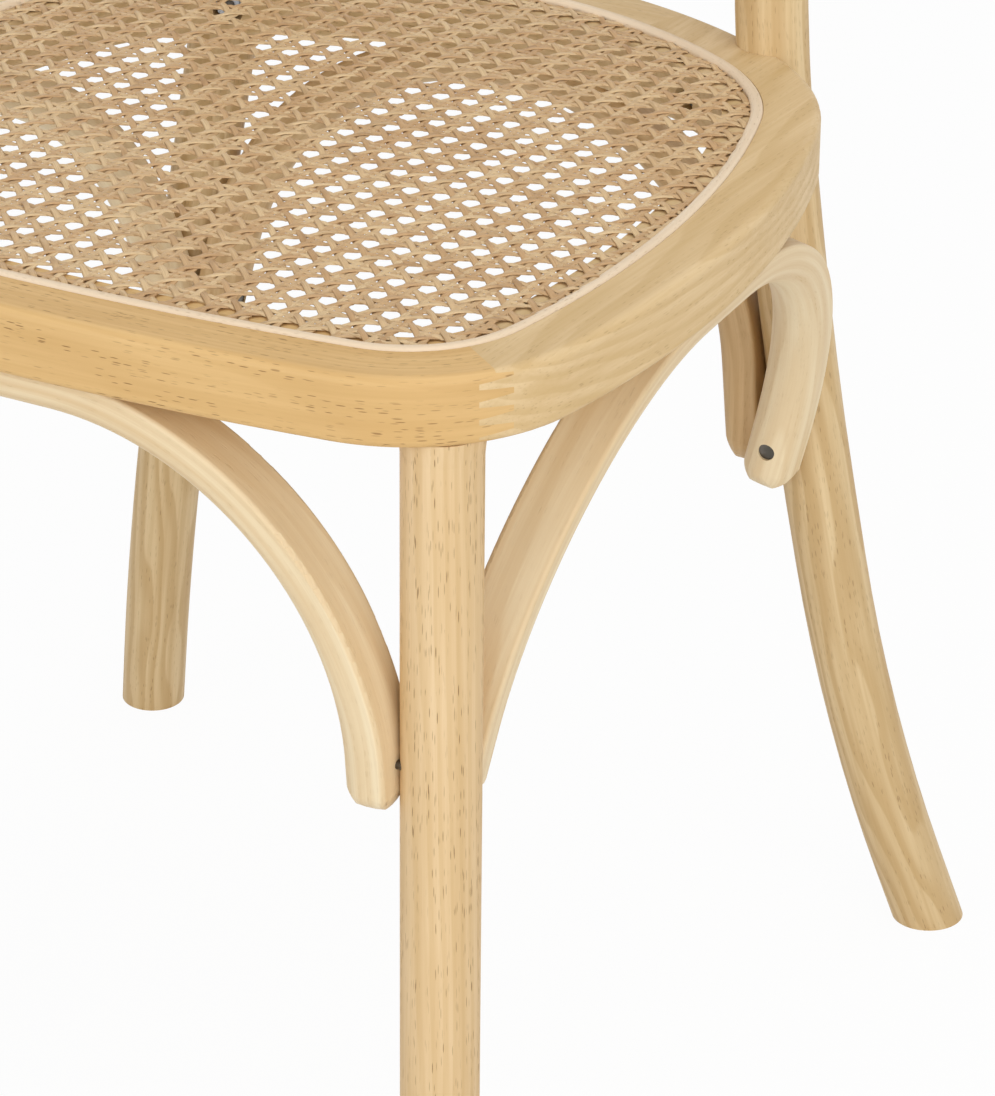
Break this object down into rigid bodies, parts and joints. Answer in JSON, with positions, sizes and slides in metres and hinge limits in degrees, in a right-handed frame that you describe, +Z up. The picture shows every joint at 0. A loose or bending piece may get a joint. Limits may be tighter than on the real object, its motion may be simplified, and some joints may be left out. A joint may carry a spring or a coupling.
{
  "type": "cross back chair",
  "caption": "Armless bentwood dining chair with a round-cornered woven cane seat, a hooped back with crossing braces and arched stretchers under the seat.",
  "frame": {"origin": "centre of the chair's bounding box, on the floor under the feet", "axes": "+Z up; -Y towards the front of the seat; +X towards the right side as seen from the front"},
  "size_m": [0.4888, 0.5, 0.88],
  "materials": {
    "oiled_rubberwood": "clear satin lacquer over open-pored pale wood",
    "turned_wood": "clear satin lacquer, long dark pores",
    "bent_wood": "clear satin lacquer, grain along the bend",
    "arch_wood": "clear satin lacquer, fine pale grain",
    "cane": "natural woven rattan cane",
    "reed": "natural rattan reed, smooth",
    "dark_steel": "blackened steel",
    "zinc_steel": "zinc plated steel"
  },
  "bodies": {
    "root": {"seat_front_rail": "oiled_rubberwood", "seat_back_rail": "oiled_rubberwood", "seat_right_rail": "oiled_rubberwood", "seat_left_rail": "oiled_rubberwood", "cane_webbing": "cane", "cane_spline": "reed", "front_leg_right": "turned_wood", "front_leg_left": "turned_wood", "back_hoop": "bent_wood", "cross_brace_front": "bent_wood", "cross_brace_back": "bent_wood", "front_arch": "arch_wood", "back_arch": "arch_wood", "right_arch": "arch_wood", "left_arch": "arch_wood", "arch_end_screws": "dark_steel", "arch_crown_screws": "dark_steel", "brace_end_screws": "dark_steel", "brace_cross_screw": "dark_steel", "hoop_bolts": "dark_steel", "hoop_washers": "zinc_steel", "hoop_nuts": "zinc_steel", "nut_washers": "zinc_steel"}
  },
  "joints": []
}
